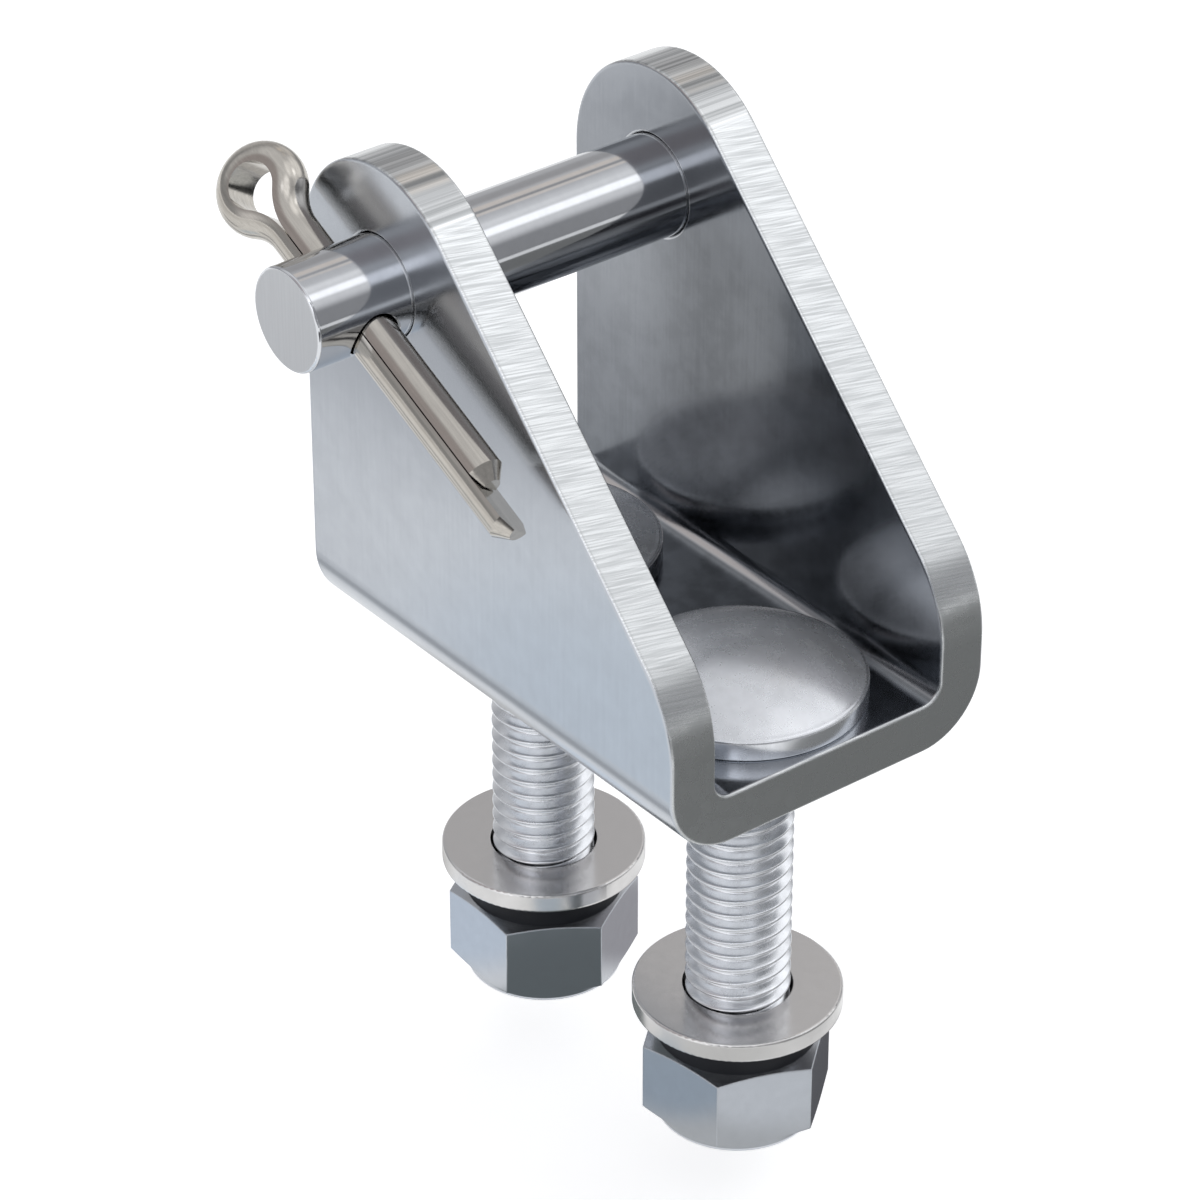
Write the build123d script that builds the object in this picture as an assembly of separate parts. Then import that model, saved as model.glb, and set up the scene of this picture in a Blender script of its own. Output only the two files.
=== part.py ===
from build123d import *
import math
import os

# Actuator mounting bracket: a folded steel clevis that carries a clevis pin and its split pin,
# bolted down by two cup head bolts, each with a flat washer and a lock nut.
#
# Frame, in millimetres: +Z up, X along the channel towards its low open front, Y along the clevis pin.
# The origin is on the underside of the base, midway between the two bolts.
# The near ear, with the split pin, is at -Y. The head of the clevis pin is at +Y.

os.makedirs("parts", exist_ok=True)

# Folded sheet
sheet_thickness = 4.0
bracket_width = 29.0
bracket_length = 43.0
inner_bend_radius = 1.5
bolt_spacing = 24.0
back_margin = 9.25
pin_height = 32.2
ear_top_radius = 9.5
slope_angle = 45.0
front_corner_radius = 10.0
sheet_edge_break = 0.25
pin_bore_edge_break = 0.12

# Clevis pin
pin_diameter = 8.0
pin_bore_clearance = 0.05
pin_overhang = 8.2
pin_end_edge = 0.25
pin_head_diameter = 12.0
pin_head_thickness = 2.0
pin_head_chamfer = 0.4
pin_head_gap = 0.1

# Split pin, of half-round wire folded double round an eye
split_pin_diameter = 3.7
split_pin_hole_diameter = 4.0
split_pin_hole_chamfer = 0.12
split_pin_standoff = 3.08
split_pin_lean = 24.8
split_pin_twist = 50.0
leg_gap = 0.1
eye_inner_radius = 1.8
eye_distance = 10.95
neck_radius = 4.8
long_leg_length = 22.5
short_leg_length = 18.5
leg_point_length = 1.1
leg_point_inset = 0.9

# Cup head bolts with a square neck
bolt_diameter = 8.0
bolt_length = 35.0
bolt_end_chamfer = 1.0
thread_pitch = 1.25
thread_depth = 0.7
thread_crest = 0.16
thread_flank_angle = 30.0
thread_cutter_margin = 0.05
bolt_head_diameter = 18.4
bolt_head_rim = 1.6
bolt_head_dome = 2.7
bolt_head_edge = 0.2
neck_width = 8.3
neck_length = 3.7
neck_clearance = 0.15

# Flat washers
washer_diameter = 16.0
washer_bore_diameter = 8.4
washer_thickness = 1.6
washer_edge = 0.2
washer_drop = 22.3

# Lock nuts, with the insert ring proud of the steel
nut_across_flats = 13.0
nut_height = 6.4
nut_chamfer_angle = 17.0
nut_chamfer_diameter = 12.4
nut_collar_diameter = 12.3
nut_collar_height = 1.0
nut_collar_edge = 0.2
nut_bore_clearance = 0.05
nut_bore_countersink = 0.5
insert_diameter = 12.4
insert_height = 2.5
insert_edge = 0.2
insert_spigot_diameter = 10.4
insert_spigot_depth = 1.6
insert_seat_clearance = 0.03

# Each bolt by its end of the base, with the turn its nut was left at
nut_turns = {"front": 9.5, "rear": -0.8}

# Derived from the sheet
outer_bend_radius = inner_bend_radius + sheet_thickness
half_width = bracket_width / 2
half_gap = half_width - sheet_thickness
x_back = -bolt_spacing / 2 - back_margin
x_front = x_back + bracket_length
pin_x = x_back + ear_top_radius
bolt_places = {"front": bolt_spacing / 2, "rear": -bolt_spacing / 2}

# Derived levels below the base, from the washers down
washer_bottom = -washer_drop - washer_thickness
nut_top = washer_bottom - insert_height
nut_bottom = nut_top - nut_height
collar_bottom = nut_bottom - nut_collar_height
bolt_end = sheet_thickness - bolt_length


def turned(*outline):
    """Solid of revolution about Z, from the corners (radius, height) of its half section."""
    return revolve(Plane.XZ * make_face(Polyline(*outline, close=True)), Axis.Z)


def edge_loops(solid, radius, height):
    """Circular edges about Z with this radius, at this height."""
    circles = solid.edges().filter_by(GeomType.CIRCLE)
    level = circles.filter_by(lambda edge: abs(edge.center().Z - height) < 1e-4)
    return level.filter_by(lambda edge: abs(edge.radius - radius) < 1e-4)


def channel_face(half_span, floor, corner_radius, top):
    """Face of a channel's cross-section in the YZ plane, filled up to the top."""
    outline = FilletPolyline(
        (-half_span, top),
        (-half_span, floor),
        (half_span, floor),
        (half_span, top),
        radius=corner_radius,
    )
    return Plane.YZ * make_face([outline, Line(outline @ 1, outline @ 0)])


def ear_face():
    """Side view of the bracket in the XZ plane: upright back, round top, sloping front."""
    rise = math.sin(math.radians(slope_angle))
    run = math.cos(math.radians(slope_angle))
    apex = pin_height + ear_top_radius * (1 + rise) / run
    front_corner = pin_height + (ear_top_radius - (x_front - pin_x) * rise) / run
    outline = FilletPolyline(
        (x_back, 0),
        (x_back, apex),
        (x_front, front_corner),
        (x_front, 0),
        radius=[ear_top_radius, front_corner_radius],
    )
    return Plane.XZ * make_face([outline, Line(outline @ 1, outline @ 0)])


def cut_edges(sheet):
    """Edges between the broad faces of the folded sheet and its cut rim."""
    along_bends = sheet.edges().filter_by(Axis.X)
    across_rim = sheet.edges().filter_by(Axis.Y).filter_by(lambda edge: edge.length < 2 * sheet_thickness)
    smooth = [*along_bends, *across_rim]
    return sheet.edges().filter_by(lambda edge: edge not in smooth)


def bracket():
    top = pin_height + 2 * ear_top_radius
    outer = channel_face(half_width, 0, outer_bend_radius, top)
    inner = channel_face(half_gap, sheet_thickness, inner_bend_radius, top)
    channel = Pos(x_back, 0, 0) * extrude(outer - inner, bracket_length)
    sheet = channel & extrude(ear_face(), bracket_width, both=True)
    sheet = fillet(cut_edges(sheet), sheet_edge_break)
    bore_radius = pin_diameter / 2 + pin_bore_clearance
    flare_radius = bore_radius + pin_bore_edge_break
    flared_bore = turned(
        (0, half_gap),
        (flare_radius, half_gap),
        (bore_radius, half_gap + pin_bore_edge_break),
        (bore_radius, half_width - pin_bore_edge_break),
        (flare_radius, half_width),
        (0, half_width),
    )
    for side in (-90, 90):
        sheet -= Pos(pin_x, 0, pin_height) * Rot(side, 0, 0) * flared_bore
    square_side = neck_width + 2 * neck_clearance
    for place in bolt_places.values():
        sheet -= Pos(place, 0, 0) * Box(square_side, square_side, 3 * sheet_thickness)
    return sheet


def split_pin_plane():
    """Plane on the split pin's axis: X towards the leg ends, Y from leg to leg, Z across the wire."""
    lean = math.radians(split_pin_lean)
    twist = math.radians(split_pin_twist)
    along = Vector(math.cos(lean), 0, -math.sin(lean))
    upright = Vector(math.sin(lean), 0, math.cos(lean))
    leg_to_leg = Vector(0, 1, 0) * math.cos(twist) + upright * math.sin(twist)
    centre = Vector(pin_x, -half_width - split_pin_standoff, pin_height)
    return Plane(origin=centre, x_dir=along, z_dir=along.cross(leg_to_leg))


def clevis_pin():
    radius = pin_diameter / 2
    head_radius = pin_head_diameter / 2
    head_seat = half_width + pin_head_gap
    head_end = head_seat + pin_head_thickness
    free_end = -half_width - pin_overhang
    shaft = turned(
        (0, free_end),
        (radius, free_end),
        (radius, head_seat),
        (head_radius, head_seat),
        (head_radius, head_end - pin_head_chamfer),
        (head_radius - pin_head_chamfer, head_end),
        (0, head_end),
    )
    shaft = fillet(edge_loops(shaft, radius, free_end), pin_end_edge)
    shaft = Pos(pin_x, 0, pin_height) * Rot(-90, 0, 0) * shaft
    hole = Rot(0, 90, 0) * Cylinder(split_pin_hole_diameter / 2, 2 * pin_diameter)
    drilled = shaft - split_pin_plane().location * hole
    rims = drilled.edges().filter_by(GeomType.BSPLINE)
    return chamfer(rims, split_pin_hole_chamfer)


def pointed_leg(side, length):
    """Half-round leg with a blunt cone point, on one side (+1 or -1) of the split."""
    radius = split_pin_diameter / 2 - leg_gap / 2
    outline = Polyline(
        (0, 0),
        (0, radius),
        (length - leg_point_length, radius),
        (length, radius - leg_point_inset),
        (length, 0),
        close=True,
    )
    half_round = revolve(Plane.XZ * make_face(outline), Axis.X, 180)
    turn_to_side = 0 if side < 0 else 180
    return Pos(0, side * leg_gap / 2, 0) * Rot(turn_to_side, 0, 0) * half_round


def eye():
    """Half-round wire swept from one leg, round the eye with its flat side inwards, to the other."""
    radius = split_pin_diameter / 2 - leg_gap / 2
    half_slot = leg_gap / 2
    reach = math.sqrt((eye_inner_radius + neck_radius) ** 2 - (neck_radius + half_slot) ** 2)
    neck_start = reach - eye_distance
    share = eye_inner_radius / (eye_inner_radius + neck_radius)
    meet_x = share * reach - eye_distance
    meet_y = share * (neck_radius + half_slot)
    near_run = Line((0, -half_slot), (neck_start, -half_slot))
    near_neck = TangentArc((neck_start, -half_slot), (meet_x, -meet_y), tangent=(-1, 0))
    bow = ThreePointArc((meet_x, -meet_y), (-eye_distance - eye_inner_radius, 0), (meet_x, meet_y))
    far_neck = TangentArc((neck_start, half_slot), (meet_x, meet_y), tangent=(-1, 0))
    far_run = Line((neck_start, half_slot), (0, half_slot))
    path = Wire([near_run, near_neck, bow, far_neck, far_run])
    half_disc = Circle(radius) & Pos(-radius, 0) * Rectangle(2 * radius, 2 * radius)
    return sweep(Plane.YZ * Pos(-half_slot, 0) * half_disc, path)


def split_pin():
    near_leg = pointed_leg(-1, long_leg_length)
    far_leg = pointed_leg(1, short_leg_length)
    return split_pin_plane().location * (eye() + near_leg + far_leg)


def thread_grooves(top, bottom):
    """Closed grooves at the thread's pitch, which give its ridges without its helix."""
    flank_slope = math.tan(math.radians(thread_flank_angle))
    root_radius = bolt_diameter / 2 - thread_depth
    mouth_radius = bolt_diameter / 2 + thread_cutter_margin
    half_mouth = (thread_pitch - thread_crest) / 2 + thread_cutter_margin * flank_slope
    half_root = half_mouth - (mouth_radius - root_radius) * flank_slope
    groove = turned(
        (root_radius, -half_root),
        (mouth_radius, -half_mouth),
        (mouth_radius, half_mouth),
        (root_radius, half_root),
    )
    count = int((top - bottom) / thread_pitch)
    return [Pos(0, 0, top - (turn + 0.5) * thread_pitch) * groove for turn in range(count)]


def bolt(place):
    """Cup head on a square neck, over a threaded shank with a chamfered end."""
    radius = bolt_diameter / 2
    head_radius = bolt_head_diameter / 2
    rim_top = sheet_thickness + bolt_head_rim
    head_top = rim_top + bolt_head_dome
    shank = turned(
        (0, bolt_end),
        (radius - bolt_end_chamfer, bolt_end),
        (radius, bolt_end + bolt_end_chamfer),
        (radius, rim_top),
        (0, rim_top),
    )
    shank -= thread_grooves(sheet_thickness - neck_length, bolt_end)
    head_outline = [
        Polyline((0, head_top), (0, sheet_thickness), (head_radius, sheet_thickness), (head_radius, rim_top)),
        TangentArc((0, head_top), (head_radius, rim_top), tangent=(1, 0)),
    ]
    head = revolve(Plane.XZ * make_face(head_outline), Axis.Z)
    rims = edge_loops(head, head_radius, rim_top) + edge_loops(head, head_radius, sheet_thickness)
    head = fillet(rims, bolt_head_edge)
    neck = Pos(0, 0, sheet_thickness - neck_length / 2) * Box(neck_width, neck_width, neck_length)
    return Pos(place, 0, 0) * (shank + head + neck)


def washer(place):
    bore = washer_bore_diameter / 2
    rim = washer_diameter / 2
    top = -washer_drop
    ring = turned((bore, washer_bottom), (rim, washer_bottom), (rim, top), (bore, top))
    edges = edge_loops(ring, rim, top) + edge_loops(ring, rim, washer_bottom)
    return Pos(place, 0, 0) * fillet(edges, washer_edge)


def insert_ring(place):
    """Ring that stands proud of the nut, with a spigot let into the steel."""
    bore = bolt_diameter / 2 + nut_bore_clearance
    rim = insert_diameter / 2
    spigot = insert_spigot_diameter / 2
    ring = turned(
        (bore, nut_top - insert_spigot_depth),
        (spigot, nut_top - insert_spigot_depth),
        (spigot, nut_top),
        (rim, nut_top),
        (rim, washer_bottom),
        (bore, washer_bottom),
    )
    return Pos(place, 0, 0) * fillet(edge_loops(ring, rim, washer_bottom), insert_edge)


def nut(place, turn):
    """Hexagon chamfered at both ends, with a round collar below and a recess for the ring above."""
    chamfer_radius = nut_chamfer_diameter / 2
    corner_radius = nut_across_flats / 2 / math.cos(math.pi / 6)
    chamfer_drop = (corner_radius - chamfer_radius) * math.tan(math.radians(nut_chamfer_angle))
    hexagon = Pos(0, 0, nut_bottom) * extrude(
        RegularPolygon(nut_across_flats / 2, 6, major_radius=False, rotation=turn), nut_height
    )
    envelope = turned(
        (0, nut_bottom),
        (chamfer_radius, nut_bottom),
        (corner_radius, nut_bottom + chamfer_drop),
        (corner_radius, nut_top - chamfer_drop),
        (chamfer_radius, nut_top),
        (0, nut_top),
    )
    collar_radius = nut_collar_diameter / 2
    collar = turned((0, collar_bottom), (collar_radius, collar_bottom), (collar_radius, nut_bottom), (0, nut_bottom))
    collar = fillet(edge_loops(collar, collar_radius, collar_bottom), nut_collar_edge)
    bore = bolt_diameter / 2 + nut_bore_clearance
    seat = insert_spigot_diameter / 2 + insert_seat_clearance
    seat_floor = nut_top - insert_spigot_depth - insert_seat_clearance
    hollow = turned(
        (0, collar_bottom),
        (bore + nut_bore_countersink, collar_bottom),
        (bore, collar_bottom + nut_bore_countersink),
        (bore, seat_floor),
        (seat, seat_floor),
        (seat, nut_top),
        (0, nut_top),
    )
    return Pos(place, 0, 0) * ((hexagon & envelope) + collar - hollow)


export_step(bracket(), "parts/bracket.step")
export_step(clevis_pin(), "parts/clevis_pin.step")
export_step(split_pin(), "parts/split_pin.step")
for end, place in bolt_places.items():
    export_step(bolt(place), f"parts/bolt_{end}.step")
    export_step(washer(place), f"parts/washer_{end}.step")
    export_step(insert_ring(place), f"parts/nut_ring_{end}.step")
    export_step(nut(place, nut_turns[end]), f"parts/nut_{end}.step")
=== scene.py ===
import math

import bmesh
import bpy
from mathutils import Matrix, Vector


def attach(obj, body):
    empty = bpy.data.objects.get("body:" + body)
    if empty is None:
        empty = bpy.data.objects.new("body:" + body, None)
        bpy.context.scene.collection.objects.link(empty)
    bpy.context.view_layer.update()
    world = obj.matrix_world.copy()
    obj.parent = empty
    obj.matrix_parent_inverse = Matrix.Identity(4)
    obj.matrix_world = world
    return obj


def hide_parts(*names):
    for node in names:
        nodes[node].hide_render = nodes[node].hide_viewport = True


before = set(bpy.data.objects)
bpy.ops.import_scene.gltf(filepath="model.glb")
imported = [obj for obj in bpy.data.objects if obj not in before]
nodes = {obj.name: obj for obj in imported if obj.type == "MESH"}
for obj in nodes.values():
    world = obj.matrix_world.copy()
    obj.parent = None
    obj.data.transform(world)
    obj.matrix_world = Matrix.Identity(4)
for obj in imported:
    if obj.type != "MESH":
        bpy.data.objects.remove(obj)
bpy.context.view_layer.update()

MM = 0.001

# Places and sizes shared with the solids, in millimetres
PIN_X, PIN_Z = -11.75, 32.2
BORE_EDGE = 4.25
BOLT_PLACES = {"front": 12.0, "rear": -12.0}
SHEET = 4.0
INSIDE_HALF_WIDTH = 10.8
SHANK_END = -31.0
MAJOR_RADIUS = 4.0
PITCH = 1.25
END_CHAMFER = 1.0
HEAD_RADIUS = 9.2
HEAD_RIM = 1.6
HEAD_DOME = 2.7
HEAD_EDGE = 0.2
NECK_WIDTH = 8.3
NECK_LENGTH = 3.7
WIRE_LEAN = math.radians(24.8)

# Threaded bolts: where each thread starts, in degrees, how finely the bolts are meshed, and how far the shank
# and the neck reach into what is above them, in millimetres
THREAD_TURNS = {"front": 127.0, "rear": 88.0}
THREAD_STEPS = 80
HEAD_STEPS = 128
DOME_STEPS = 20
SHARP_ANGLE = math.radians(40)
SHANK_INTO_NECK = 0.1
NECK_INTO_HEAD = 0.5
# Half of one thread, from the middle of its crest to the middle of its root: (along the axis, depth)
THREAD_HALF = [(0.0, 0.0), (0.045, 0.006), (0.085, 0.03), (0.12, 0.075), (0.20, 0.21), (0.30, 0.385),
               (0.40, 0.555), (0.46, 0.635), (0.53, 0.69)]

# Finishes: depths of the finest relief and of the forged swell, and how much paler edges (a painted highlight)
# and upward slopes (painted light) are
RELIEF = 0.02 * MM
SWELL = 0.14 * MM
EDGE_PAINTED_HIGHLIGHT = 1.5
SLOPE_PAINTED_LIGHT = 1.20
# The sheet: rounding of its edges in the shading, the warm painted highlight in its inner bends, and the
# heights in millimetres where its bends end and where the round tops of the ears begin
SHEET_EDGE = 0.18
BEND_PAINTED_HIGHLIGHT = (0.58, 0.545, 0.535)
BENDS_TOP = 6.0
CROWN_FOOT = 38.5
# Two sets of grinding lines: sideways lean, and how many noise cells a metre across and along them
GRINDING = ((0.19, 9500, 120), (0.13, 7200, 260))

# Stage, in millimetres: the floor lies just below the lowest place that the nuts reach, so that it cuts
# nothing at any pose
FLOOR_Z = -41.0
CARD_Z = -33.5
STAGE_HALF_SIZE = 3000

# The card at the foot of the part glows only in reflections, in patches of (centre, full and faded half sizes,
# tone), in millimetres, each laid over the ones before. Its darker patches are painted shadow of the part on
# the floor and painted reflections of its pieces
CARD_TONE = (0.98, 0.99, 1.0)
CARD_PATCHES = (
    ((70, 42), (34, 26), (62, 60), (0.21, 0.215, 0.215)),
    ((300, 150), (190, 150), (280, 240), (0.22, 0.225, 0.225)),
    ((230, -155), (110, 90), (190, 130), (0.09, 0.09, 0.10)),
    ((-88, -36), (16, 9), (36, 18), (0.62, 0.63, 0.65)),
    ((-98, -78), (30, 5), (48, 11), (0.40, 0.41, 0.43)),
    ((-28, -56), (20, 8), (44, 20), (0.76, 0.83, 0.90)),
    ((-38, -31), (34, 2), (48, 8), (0.40, 0.42, 0.44)),
    ((-30, 8), (10, 10), (24, 24), (0.60, 0.60, 0.60)),
    ((-300, -420), (160, 220), (280, 340), (0.75, 0.75, 0.75)),
    ((22, -12), (12, 8), (30, 22), (0.66, 0.67, 0.67)),
    ((-1.5, -5.5), (7, 5), (10, 8), (0.17, 0.19, 0.195)),
    ((15, 8), (5, 7), (9, 10), (0.12, 0.12, 0.13)),
    ((-7, 10), (4, 5), (9, 9), (0.46, 0.45, 0.47)),
    ((9, -14), (4, 5), (8, 8), (0.46, 0.53, 0.60)),
    ((-19, -11), (4, 4), (9, 8), (0.80, 0.88, 0.98)),
    ((26, -3), (3, 4), (7, 8), (0.84, 0.86, 0.88)),
)

# The sky, a grey studio, in zones of (towards, full and faded angle, tone), in degrees, each laid over the
# ones before
SKY_TONE = (0.36, 0.365, 0.38)
SKY_ZONES = (
    ((0.0, -0.1, 1.0), 20, 65, (0.80, 0.81, 0.83)),
    ((-0.9, 0.35, 0.1), 8, 35, (0.60, 0.60, 0.61)),
    ((0.85, 0.36, -0.45), 10, 32, (0.17, 0.175, 0.18)),
    ((-0.50, 0.72, 0.48), 8, 22, (0.80, 0.79, 0.79)),
    ((-0.70, 0.52, 0.48), 3, 14, (0.48, 0.475, 0.48)),
    ((-0.66, -0.50, 0.55), 8, 22, (0.62, 0.625, 0.64)),
    ((0.06, -0.96, 0.20), 8, 26, (0.95, 0.95, 0.97)),
    ((0.66, -0.56, 0.50), 12, 32, (0.30, 0.305, 0.32)),
    ((0.32, -0.84, 0.43), 7, 20, (1.45, 1.46, 1.50)),
    ((-0.22, -0.68, 0.70), 12, 28, (0.44, 0.41, 0.42)),
    ((0.50, -0.52, 0.69), 4, 14, (1.70, 1.72, 1.78)),
    ((0.62, -0.20, 0.76), 6, 18, (1.30, 1.31, 1.34)),
    ((0.15, 0.80, 0.58), 8, 28, (1.20, 1.21, 1.23)),
    ((0.32, 0.32, 0.89), 9, 20, (1.25, 1.26, 1.28)),
    ((0.47, 0.57, 0.67), 5, 24, (0.95, 0.96, 0.98)),
    ((-0.44, 0.52, 0.73), 2, 7, (0.88, 0.81, 0.75)),
    ((-0.31, 0.53, 0.79), 1, 4, (0.42, 0.42, 0.43)),
    ((-0.22, 0.53, 0.82), 1, 4, (0.90, 0.84, 0.79)),
    ((0.42, 0.54, 0.73), 3, 9, (1.75, 1.77, 1.81)),
)

# Camera, fitted to the photograph, in millimetres
CAMERA_PLACE = (248.14, -198.50, 208.56)
CAMERA_AZIMUTH, CAMERA_ELEVATION = math.radians(51.88), math.radians(32.54)
CAMERA_LENS, CAMERA_SENSOR = 152.63, 36


# Node helpers

class Nodes:
    """Short calls for making the nodes of one material or world."""

    def __init__(self, tree):
        self.tree = tree
        tree.nodes.clear()

    def new(self, kind, inputs=(), **settings):
        node = self.tree.nodes.new(kind)
        for key, value in settings.items():
            setattr(node, key, value)
        for key, value in dict(inputs).items():
            self.put(node.inputs[key], value)
        return node

    def put(self, socket, value):
        if isinstance(value, bpy.types.NodeSocket):
            self.tree.links.new(value, socket)
        else:
            socket.default_value = value

    def math(self, operation, a, b=0.0):
        node = self.new("ShaderNodeMath", operation=operation)
        self.put(node.inputs[0], a)
        self.put(node.inputs[1], b)
        return node.outputs[0]

    def product(self, first, *others):
        for other in others:
            first = self.math("MULTIPLY", first, other)
        return first

    def span(self, value, low, high, out_low=0.0, out_high=1.0, smooth=True):
        """Carries a value from one range to another, held at both ends."""
        node = self.new(
            "ShaderNodeMapRange",
            {"Value": value, "From Min": low, "From Max": high, "To Min": out_low, "To Max": out_high},
            interpolation_type="SMOOTHSTEP" if smooth else "LINEAR",
        )
        return node.outputs["Result"]

    def mix(self, factor, a, b):
        """Mixes two colours."""
        node = self.new("ShaderNodeMix", data_type="RGBA")
        self.put(node.inputs[0], factor)
        self.put(node.inputs[6], a)
        self.put(node.inputs[7], b)
        return node.outputs[2]

    def blend(self, factor, a, b):
        """Mixes two values."""
        node = self.new("ShaderNodeMix", data_type="FLOAT")
        self.put(node.inputs[0], factor)
        self.put(node.inputs[2], a)
        self.put(node.inputs[3], b)
        return node.outputs[0]

    def noise(self, vector, scale, detail=2.0, roughness=0.5, stretch=(1, 1, 1)):
        """Noise about 0.5, with scale times stretch cells a metre along each axis."""
        mapping = self.new("ShaderNodeMapping", {"Vector": vector, "Scale": stretch})
        node = self.new(
            "ShaderNodeTexNoise",
            {"Vector": mapping.outputs[0], "Scale": scale, "Detail": detail, "Roughness": roughness},
        )
        return node.outputs["Fac"]

    def parts(self, vector):
        """The X, Y and Z of a vector."""
        return self.new("ShaderNodeSeparateXYZ", {"Vector": vector}).outputs

    def rounded(self, radius):
        """Normal that rounds off the edges in the shading, and how much it turned there."""
        soft = self.new("ShaderNodeBevel", {"Radius": radius * MM}, samples=4).outputs[0]
        hard = self.new("ShaderNodeNewGeometry").outputs["Normal"]
        dot = self.new("ShaderNodeVectorMath", {0: soft, 1: hard}, operation="DOT_PRODUCT")
        return soft, self.span(dot.outputs["Value"], 0.995, 0.90)

    def bump(self, height, distance, normal=None, strength=1.0):
        node = self.new("ShaderNodeBump", {"Height": height, "Strength": strength, "Distance": distance})
        if normal is not None:
            self.put(node.inputs["Normal"], normal)
        return node.outputs[0]

    def principled(self, inputs):
        """Ends a material in a Principled surface."""
        shader = self.new("ShaderNodeBsdfPrincipled", inputs)
        self.surface(shader)
        return shader

    def surface(self, shader):
        self.new("ShaderNodeOutputMaterial", {"Surface": shader.outputs[0]})


def new_material(name):
    """A material without nodes, and the calls that fill it."""
    material = bpy.data.materials.new(name)
    material.use_nodes = True
    return material, Nodes(material.node_tree)


def rgba(colour):
    return (*colour, 1.0)


def shaded(colour, factor):
    return (*(min(1.0, part * factor) for part in colour), 1.0)


# Finishes

def turned_ends(n, coordinates, colour, base, rough):
    """Lays the duller cut of a pin's end faces, and a painted highlight along their edges, over its colour and
    roughness.
    """
    endways = n.math("ABSOLUTE", n.parts(coordinates.outputs["Normal"])[1])
    face = n.span(endways, 0.95, 0.99)
    cuts = n.noise(coordinates.outputs["Object"], 1, detail=3, roughness=0.6, stretch=(5200, 1, 160))
    base = n.mix(face, base, n.mix(cuts, shaded(colour, 0.93), shaded(colour, 1.08)))
    rough = n.blend(face, rough, n.span(cuts, 0.3, 0.7, 0.36, 0.30))
    # Painted highlight: the edges of the end faces are painted paler
    edge = n.product(n.span(endways, 0.25, 0.45), n.span(endways, 0.99, 0.93), 0.7)
    return n.mix(edge, base, shaded(colour, EDGE_PAINTED_HIGHLIGHT)), rough


def forged_skin(n, place, above, rough, normal):
    """Hazy, slightly uneven skin above a height: its roughness, how metallic it is, and its normal."""
    forged = n.span(n.parts(place)[2], (above - 0.1) * MM, (above + 0.1) * MM)
    haze = n.noise(place, 620, detail=5, roughness=0.7)
    rough = n.blend(forged, rough, n.span(haze, 0.2, 0.8, 0.23, 0.33, smooth=False))
    dull = n.product(forged, n.span(haze, 0.2, 0.8, 0.40, 0.22, smooth=False))
    uneven = n.product(n.noise(place, 170, detail=0), forged)
    return rough, n.math("SUBTRACT", 1.0, dull), n.bump(uneven, SWELL, normal)


def metal(name, colour, roughness, lines, line_depth, mottle=0.03, edge=None, lean=0.0, forged_above=None,
          turned=False):
    """Metal with fine drawn lines, given as noise cells a metre along each axis, and soft mottling.
    lean tilts the lines about Y. edge rounds off the edges in the shading and paints a highlight along them.
    forged_above and turned give a head above that height, or the end faces of a pin, a finish of its own."""
    material, n = new_material(name)
    coordinates = n.new("ShaderNodeTexCoord")
    place = coordinates.outputs["Object"]
    along = n.new("ShaderNodeVectorRotate", {"Vector": place, "Angle": lean}, rotation_type="Y_AXIS")
    cloud = n.noise(place, 950, detail=4, roughness=0.6)
    drawn = n.noise(along.outputs[0], 1, detail=3, roughness=0.6, stretch=lines)
    spread = line_depth + mottle
    tone = n.blend(line_depth / spread, cloud, drawn)
    tone_share = n.span(tone, 0.3, 0.7, smooth=False)
    base = n.mix(tone_share, shaded(colour, 1 - spread), shaded(colour, 1 + spread))
    rough = n.span(tone, 0.3, 0.7, roughness * 1.15, roughness * 0.85)
    metallic = 1.0
    normal = None
    if edge is not None:
        normal, bent = n.rounded(edge)
        # Painted highlight: the base is painted paler where the edges are rounded
        base = n.mix(n.product(bent, 0.5), base, shaded(colour, EDGE_PAINTED_HIGHLIGHT))
    if turned:
        base, rough = turned_ends(n, coordinates, colour, base, rough)
    if forged_above is not None:
        rough, metallic, normal = forged_skin(n, place, forged_above, rough, normal)
    normal = n.bump(n.product(drawn, line_depth), RELIEF, normal)
    n.principled({"Base Color": base, "Metallic": metallic, "Roughness": rough, "Normal": normal})
    return material


def ground_rim(n, place, upward, crown, colour):
    """Cut rim of the sheet, with ground lines on the slopes, stripes over the crown, blotches elsewhere, and
    painted light on the upward slopes.
    Gives its colour and how worn it is."""
    x, y, z = n.parts(place)
    down_slope = n.product(n.math("SUBTRACT", x, z), math.sqrt(0.5))
    strokes = []
    for tilt, across, along in GRINDING:
        leaning = n.math("SUBTRACT", down_slope, n.product(y, tilt))
        grind = n.new("ShaderNodeCombineXYZ", {"X": leaning, "Y": y}).outputs[0]
        strokes.append(n.noise(grind, 1, detail=1, stretch=(across, along, 1)))
    ground = n.blend(0.5, *strokes)
    stripes = n.noise(place, 1, detail=3, roughness=0.6, stretch=(2300, 20, 2300))
    blotch = n.noise(place, 900, detail=2)
    worn = n.blend(upward, blotch, n.blend(crown, ground, stripes))
    depth = n.blend(upward, 0.05, n.blend(crown, 0.17, 0.30))
    # Painted light: the upward slopes below the crown are painted paler
    on_slope = n.product(upward, n.math("SUBTRACT", 1.0, crown))
    rim_lit_on_slopes = n.mix(on_slope, rgba(colour), shaded(colour, SLOPE_PAINTED_LIGHT))
    dark = n.mix(depth, rim_lit_on_slopes, rgba((0, 0, 0)))
    pale = n.mix(depth, rim_lit_on_slopes, rgba((1, 1, 1)))
    return n.mix(n.span(worn, 0.40, 0.60, smooth=False), dark, pale), worn


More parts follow.
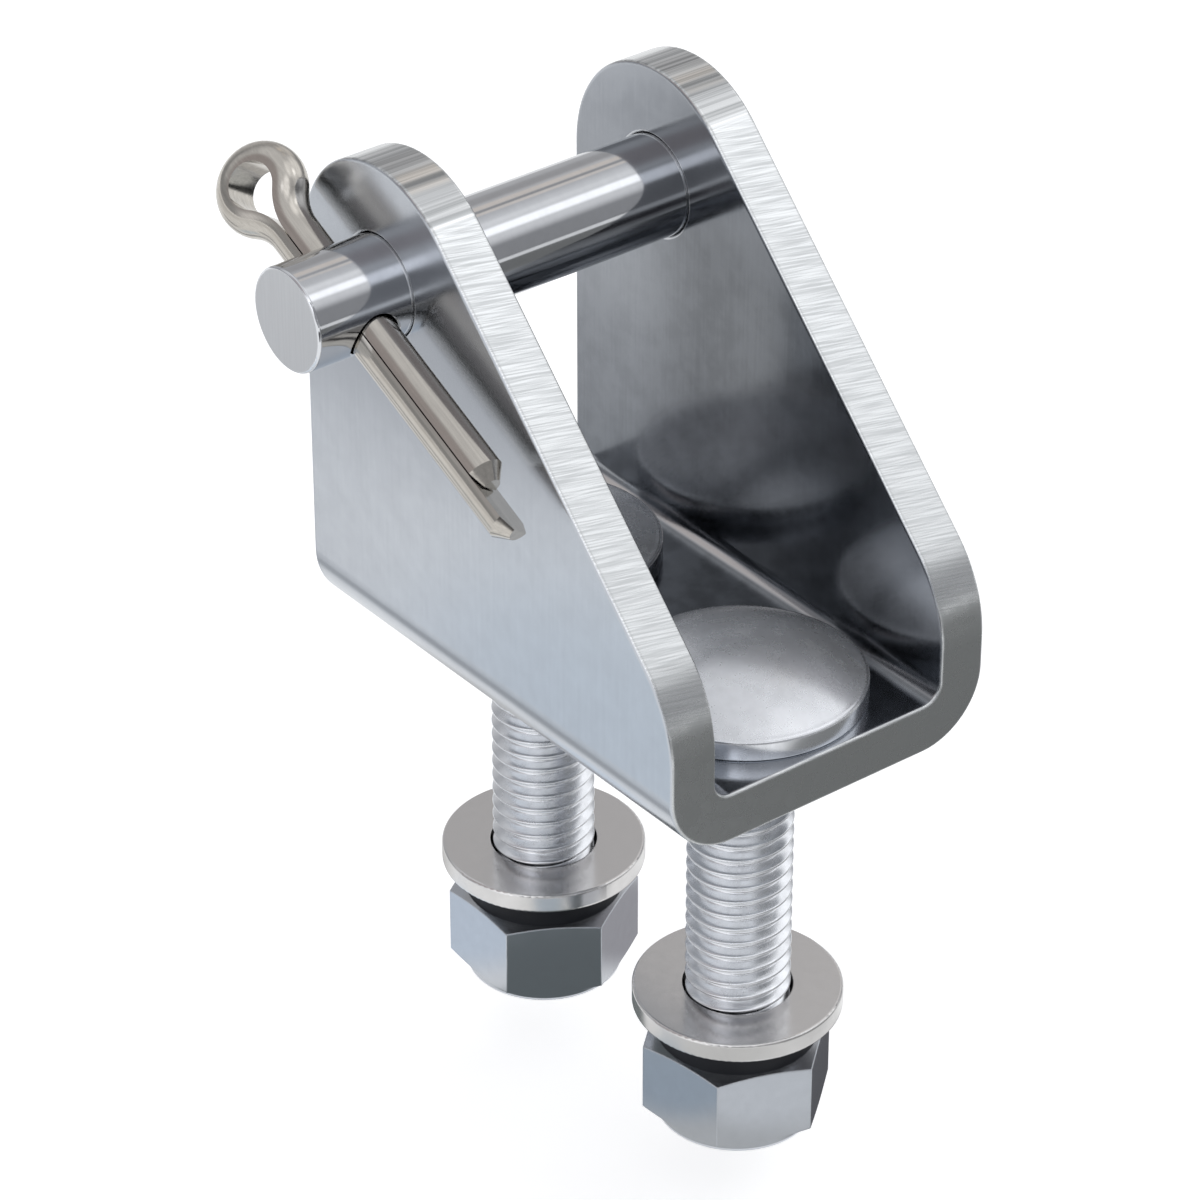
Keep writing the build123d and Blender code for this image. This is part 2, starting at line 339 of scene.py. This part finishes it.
def inside_painted_shade(n, place, nz, cloud, grain):
    """How dark the painted shade between the walls is, mottled by noise."""
    x, y, z = n.parts(place)
    # On the walls the painted shade deepens forwards and clears at the front edge. It is thinner on the near
    # wall and on top
    clear = n.product(n.span(x, 10 * MM, 18 * MM, 0.0, 0.42), n.span(z, 9 * MM, 13 * MM))
    walls = n.math("SUBTRACT", n.span(x, -16 * MM, -5 * MM, 0.40, 0.66), clear)
    walls = n.product(walls, n.span(y, -6 * MM, 6 * MM, 0.5, 1.0))
    walls = n.math("ADD", walls, n.span(grain, 0.35, 0.65, -0.05, 0.05))
    walls = n.product(walls, n.span(z, 38 * MM, 28 * MM, 0.45, 1.0))
    # On the floor the painted shade is cloudy and stops short of the front edge
    floor = n.product(n.span(cloud, 0.35, 0.65, 0.32, 0.54), n.span(x, 19 * MM, 16 * MM, 0.3, 1.0))
    return n.blend(n.span(nz, 0.9, 0.99), walls, floor)


def sheet_metal(name, broad, rim):
    """Folded sheet: satin broad faces, painted shade inside, and cut rims ground across its thickness."""
    material, n = new_material(name)
    coordinates = n.new("ShaderNodeTexCoord")
    place = coordinates.outputs["Object"]
    x, y, z = n.parts(place)
    nx, ny, nz = (n.math("ABSOLUTE", part) for part in n.parts(coordinates.outputs["Normal"]))

    # Where the cut rims are: between the broad faces above the bends, and on the end faces
    above_bends = n.span(z, BENDS_TOP * MM, (BENDS_TOP + 0.5) * MM)
    end_face = n.span(nx, 0.3, 0.4)
    cut = n.product(n.span(ny, 0.75, 0.65), n.math("MAXIMUM", above_bends, end_face))
    upward = n.span(nz, 0.15, 0.45)
    crown = n.span(z, CROWN_FOOT * MM, (CROWN_FOOT + 1) * MM)
    rim_colour, worn = ground_rim(n, place, upward, crown, rim)
    rim_rough = n.blend(crown, n.span(worn, 0.3, 0.7, 0.33, 0.23), 0.13)

    # Broad faces, with painted shade between the walls but for a warm painted highlight inside the bends,
    # which fades forwards
    drawn = n.noise(place, 1, detail=3, roughness=0.6, stretch=(5200, 5200, 110))
    cloud = n.noise(place, 420, detail=4, roughness=0.6)
    grain = n.blend(0.3, cloud, drawn)
    grain_share = n.span(grain, 0.35, 0.65, smooth=False)
    broad_colour = n.mix(grain_share, shaded(broad, 0.965), shaded(broad, 1.035))
    inside = n.span(n.math("ABSOLUTE", y), INSIDE_HALF_WIDTH * MM, (INSIDE_HALF_WIDTH - 0.2) * MM)
    bend_highlight = n.product(n.span(nz, 0.50, 0.66), n.span(nz, 0.88, 0.74))
    bend_highlight = n.product(bend_highlight, n.span(x, -4 * MM, 14 * MM, 1.0, 0.45))
    # Painted shade: the broad faces between the walls are darkened towards black
    painted_shade = n.product(inside_painted_shade(n, place, nz, cloud, grain), inside, n.math("SUBTRACT", 1.0, bend_highlight))
    broad_colour = n.mix(painted_shade, broad_colour, rgba((0, 0, 0)))
    # Painted highlight: the inside of the bends is painted a warm paler tint
    broad_colour = n.mix(n.product(bend_highlight, inside), broad_colour, rgba(BEND_PAINTED_HIGHLIGHT))
    outside_rough = n.span(grain, 0.3, 0.7, 0.215, 0.195)
    inside_rough = n.span(grain, 0.3, 0.7, 0.17, 0.13)
    broad_rough = n.blend(inside, outside_rough, inside_rough)

    # Painted highlight: a pale line round the edge of the pin's bores
    out_x = n.math("SUBTRACT", x, PIN_X * MM)
    out_z = n.math("SUBTRACT", z, PIN_Z * MM)
    out = n.math("SQRT", n.math("ADD", n.product(out_x, out_x), n.product(out_z, out_z)))
    bore_edge_highlight = n.span(out, BORE_EDGE * MM, (BORE_EDGE - 0.05) * MM)
    bore_edge_highlight = n.product(bore_edge_highlight, n.span(ny, 0.3, 0.5), 0.7)
    broad_colour = n.mix(bore_edge_highlight, broad_colour, rgba((1, 1, 1)))

    soft, bent = n.rounded(SHEET_EDGE)
    base = n.mix(cut, broad_colour, rim_colour)
    # Painted highlight: the sheet's edges are painted paler
    base = n.mix(n.product(bent, 0.7), base, shaded(broad, EDGE_PAINTED_HIGHLIGHT))
    rough = n.blend(cut, broad_rough, rim_rough)
    height = n.blend(cut, n.product(drawn, 0.05), n.product(worn, crown, 0.10))
    normal = n.bump(height, RELIEF, soft)
    n.principled({"Base Color": base, "Metallic": 1.0, "Roughness": rough, "Normal": normal})
    return material


def nylon(name, colour):
    """Dark plastic with a dull, slightly uneven surface."""
    material, n = new_material(name)
    cloud = n.noise(n.new("ShaderNodeTexCoord").outputs["Object"], 700, detail=3)
    base = n.mix(cloud, shaded(colour, 0.8), shaded(colour, 1.2))
    rough = n.span(cloud, 0.3, 0.7, 0.42, 0.55)
    normal = n.bump(cloud, RELIEF, strength=0.2)
    shader = n.principled({"Base Color": base, "Roughness": rough, "Normal": normal})
    shader.inputs["Specular IOR Level"].default_value = 0.2
    return material


def dress(node, material):
    node.data.materials.clear()
    node.data.materials.append(material)
    for polygon in node.data.polygons:
        polygon.material_index = 0


# Threaded bolts

def lathe(mesh, profile, centre_x):
    """Adds a closed turned solid to a bmesh, from (radius, height) points that start and end on the axis."""
    rings = []
    for radius, height in profile:
        if radius == 0:
            rings.append([mesh.verts.new(Vector((centre_x, 0, height)) * MM)])
            continue
        ring = []
        for step in range(HEAD_STEPS):
            angle = 2 * math.pi * step / HEAD_STEPS
            point = Vector((centre_x + radius * math.cos(angle), radius * math.sin(angle), height))
            ring.append(mesh.verts.new(point * MM))
        rings.append(ring)
    for upper, lower in zip(rings, rings[1:]):
        for step in range(HEAD_STEPS):
            after = (step + 1) % HEAD_STEPS
            corners = [upper[step % len(upper)], lower[step % len(lower)],
                       lower[after % len(lower)], upper[after % len(upper)]]
            unique = list(dict.fromkeys(corners))
            if len(unique) > 2:
                mesh.faces.new(unique)


def arc(centre, radius, start, end, steps):
    """Points (radius, height) of an arc in the half section, in degrees from the outward direction."""
    points = []
    for step in range(steps + 1):
        angle = math.radians(start + (end - start) * step / steps)
        points.append((centre[0] + radius * math.cos(angle), centre[1] + radius * math.sin(angle)))
    return points


def thread_depth(along):
    """Depth below the major radius at a distance along the axis from the nearest crest."""
    for (low, shallow), (high, deep) in zip(THREAD_HALF, THREAD_HALF[1:]):
        if along <= high:
            return shallow + (deep - shallow) * (along - low) / (high - low)
    return THREAD_HALF[-1][1]


def add_thread(mesh, centre_x, top, bottom, start_turn):
    """Adds a closed right-handed threaded rod, on a grid that climbs with the helix."""
    stops = [-along for along, _ in reversed(THREAD_HALF)] + [along for along, _ in THREAD_HALF[1:]]
    stops = [stop + PITCH / 2 for stop in stops]
    # Two turns more at each end are held to the ends, which the climb of the last column needs
    turns = math.ceil((top - bottom) / PITCH) + 4
    heights = [bottom + PITCH * (turn - 2) + stop for turn in range(turns) for stop in stops]
    columns = []
    for step in range(THREAD_STEPS):
        share = step / THREAD_STEPS
        column = []
        for height in heights:
            z = min(max(height + PITCH * share, bottom), top)
            phase = (z - bottom - PITCH * share) / PITCH
            along = abs(phase - math.floor(phase) - 0.5) * PITCH
            radius = MAJOR_RADIUS - thread_depth(along)
            radius = min(radius, MAJOR_RADIUS - END_CHAMFER + (z - bottom))
            angle = 2 * math.pi * share + start_turn
            point = Vector((centre_x + radius * math.cos(angle), radius * math.sin(angle), z))
            column.append(mesh.verts.new(point * MM))
        columns.append(column)
    for step in range(THREAD_STEPS):
        left = columns[step]
        right = columns[(step + 1) % THREAD_STEPS]
        climb = len(stops) if step == THREAD_STEPS - 1 else 0
        for row in range(len(heights) - 1 - climb):
            mesh.faces.new((left[row], right[row + climb], right[row + climb + 1], left[row + 1]))
    bmesh.ops.remove_doubles(mesh, verts=mesh.verts[:], dist=1e-7)
    loops = [edge for edge in mesh.edges if edge.is_boundary]
    bmesh.ops.holes_fill(mesh, edges=loops, sides=0)


def add_head(mesh, centre_x):
    """Adds the cup head, whose flat side lies on the sheet."""
    rim_top = SHEET + HEAD_RIM
    dome_span = HEAD_RADIUS - HEAD_EDGE
    sphere = (dome_span ** 2 + HEAD_DOME ** 2) / (2 * HEAD_DOME)
    steep = math.degrees(math.asin(dome_span / sphere))
    dome = arc((0, rim_top + HEAD_DOME - sphere), sphere, 90, 90 - steep, DOME_STEPS)
    dome[0] = (0, dome[0][1])
    upper_edge = arc((dome_span, rim_top - HEAD_EDGE * 0.9), HEAD_EDGE, 60, 0, 4)
    lower_edge = arc((dome_span, SHEET + HEAD_EDGE), HEAD_EDGE, 0, -90, 5)
    lathe(mesh, dome + upper_edge + lower_edge + [(0, SHEET)], centre_x)


def add_neck(mesh, centre_x):
    """Adds the square neck under the head."""
    half = NECK_WIDTH / 2
    sides = ((-half, -half), (half, -half), (half, half), (-half, half))
    corners = [(x, y, z) for z in (SHEET - NECK_LENGTH, SHEET + NECK_INTO_HEAD) for x, y in sides]
    box = [mesh.verts.new(Vector((centre_x + x, y, z)) * MM) for x, y, z in corners]
    for face in ((3, 2, 1, 0), (4, 5, 6, 7), (0, 1, 5, 4), (1, 2, 6, 5), (2, 3, 7, 6), (3, 0, 4, 7)):
        mesh.faces.new([box[corner] for corner in face])


def bolt(end, centre_x, material):
    """Stands in for a bolt's solid, with a true helical thread."""
    mesh = bmesh.new()
    top = SHEET - NECK_LENGTH + SHANK_INTO_NECK
    add_thread(mesh, centre_x, top, SHANK_END, math.radians(THREAD_TURNS[end]))
    add_head(mesh, centre_x)
    add_neck(mesh, centre_x)
    bmesh.ops.recalc_face_normals(mesh, faces=mesh.faces)
    data = bpy.data.meshes.new(f"bolt_{end}_threaded")
    mesh.to_mesh(data)
    mesh.free()
    piece = bpy.data.objects.new(f"bolt_{end}_threaded", data)
    bpy.context.scene.collection.objects.link(piece)
    data.materials.append(material)
    data.shade_smooth()
    data.set_sharp_from_angle(angle=SHARP_ANGLE)
    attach(piece, "bracket")
    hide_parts(f"bolt_{end}")


# Dressing the part
sheet = sheet_metal("folded_sheet", broad=(0.55, 0.575, 0.615), rim=(0.59, 0.605, 0.61))
pin_steel = metal(
    "pin_steel", (0.56, 0.57, 0.59), roughness=0.085,
    lines=(160, 2600, 160), line_depth=0.01, mottle=0.025, turned=True,
)
wire_steel = metal(
    "split_pin_wire", (0.54, 0.51, 0.465), roughness=0.15,
    lines=(160, 3600, 3600), line_depth=0.10, lean=-WIRE_LEAN,
)
bolt_zinc = metal(
    "bolt_zinc", (0.80, 0.815, 0.845), roughness=0.25,
    lines=(1400, 1400, 1400), line_depth=0.01, mottle=0.05, forged_above=SHEET + HEAD_RIM,
)
washer_zinc = metal(
    "washer_zinc", (0.705, 0.692, 0.685), roughness=0.19,
    lines=(1100, 1100, 1100), line_depth=0.01, mottle=0.02, edge=0.12,
)
nut_zinc = metal(
    "nut_zinc", (0.52, 0.54, 0.575), roughness=0.20,
    lines=(800, 800, 800), line_depth=0.01, mottle=0.02, edge=0.16,
)
black_nylon = nylon("black_nylon", (0.012, 0.013, 0.017))

dress(nodes["bracket"], sheet)
dress(nodes["clevis_pin"], pin_steel)
dress(nodes["split_pin"], wire_steel)
for end, centre_x in BOLT_PLACES.items():
    dress(nodes[f"washer_{end}"], washer_zinc)
    dress(nodes[f"nut_{end}"], nut_zinc)
    dress(nodes[f"nut_ring_{end}"], black_nylon)
    bolt(end, centre_x, bolt_zinc)


# Stage

def level_plane(name, height, material):
    """Wide level plane of the stage, at a height in millimetres."""
    half = STAGE_HALF_SIZE
    sides = ((-half, -half), (half, -half), (half, half), (-half, half))
    data = bpy.data.meshes.new(name)
    data.from_pydata([Vector((x, y, height)) * MM for x, y in sides], [], [(0, 1, 2, 3)])
    data.materials.append(material)
    card = bpy.data.objects.new(name, data)
    bpy.context.scene.collection.objects.link(card)
    return card


# Floor, a pale plane that glows to the camera and in reflections, so that it shows white but keeps the shadow
floor_material, n = new_material("pale_floor")
path = n.new("ShaderNodeLightPath")
seen = n.math("MAXIMUM", path.outputs["Is Camera Ray"], path.outputs["Is Glossy Ray"])
seen = n.math("MAXIMUM", seen, path.outputs["Is Transmission Ray"])
pale = n.new("ShaderNodeBsdfDiffuse", {"Color": rgba((0.9, 0.9, 0.9))})
glow = n.new("ShaderNodeEmission", {"Color": rgba((1, 1, 1)), "Strength": n.product(seen, 0.5)})
n.surface(n.new("ShaderNodeAddShader", {0: pale.outputs[0], 1: glow.outputs[0]}))
level_plane("floor", FLOOR_Z, floor_material)

# Card that glows only in reflections, with painted shadow and painted reflections in its patches
card_material, n = new_material("reflection_card_with_painted_shade")
spot = n.parts(n.new("ShaderNodeTexCoord").outputs["Object"])
tone = rgba(CARD_TONE)
for centre, inner, outer, colour in CARD_PATCHES:
    reach = []
    for axis in (0, 1):
        off = n.math("ABSOLUTE", n.math("SUBTRACT", spot[axis], centre[axis] * MM))
        reach.append(n.math("POWER", n.span(off, 0, outer[axis] * MM, smooth=False), 2.0))
    away = n.math("SQRT", n.math("ADD", *reach))
    tone = n.mix(n.span(away, 1.0, inner[0] / outer[0]), tone, rgba(colour))
n.surface(n.new("ShaderNodeEmission", {"Color": tone, "Strength": 1.0}))
card = level_plane("reflection_card_with_painted_shade", CARD_Z, card_material)
for kind in ("camera", "diffuse", "transmission", "volume_scatter", "shadow"):
    setattr(card, f"visible_{kind}", False)

# Sky
world = bpy.data.worlds.new("studio")
bpy.context.scene.world = world
world.use_nodes = True
n = Nodes(world.node_tree)
direction = n.new("ShaderNodeTexCoord").outputs["Generated"]
sky = rgba(SKY_TONE)
for towards, inner, outer, colour in SKY_ZONES:
    axis = Vector(towards).normalized()
    dot = n.new("ShaderNodeVectorMath", {0: direction, 1: axis}, operation="DOT_PRODUCT")
    within = n.span(dot.outputs["Value"], math.cos(math.radians(outer)), math.cos(math.radians(inner)))
    sky = n.mix(within, sky, rgba(colour))
background = n.new("ShaderNodeBackground", {"Color": sky, "Strength": 1.0})
n.new("ShaderNodeOutputWorld", {"Surface": background.outputs[0]})

# Camera
camera_data = bpy.data.cameras.new("camera")
camera_data.sensor_width = CAMERA_SENSOR
camera_data.lens = CAMERA_LENS
camera_data.clip_start = 0.01
camera_data.clip_end = 50
camera = bpy.data.objects.new("camera", camera_data)
bpy.context.scene.collection.objects.link(camera)
back = Vector((
    math.sin(CAMERA_AZIMUTH) * math.cos(CAMERA_ELEVATION),
    -math.cos(CAMERA_AZIMUTH) * math.cos(CAMERA_ELEVATION),
    math.sin(CAMERA_ELEVATION),
))
camera.location = Vector(CAMERA_PLACE) * MM
camera.rotation_mode = "QUATERNION"
camera.rotation_quaternion = (-back).to_track_quat("-Z", "Y")
bpy.context.scene.camera = camera
bpy.context.scene.view_settings.view_transform = "Standard"
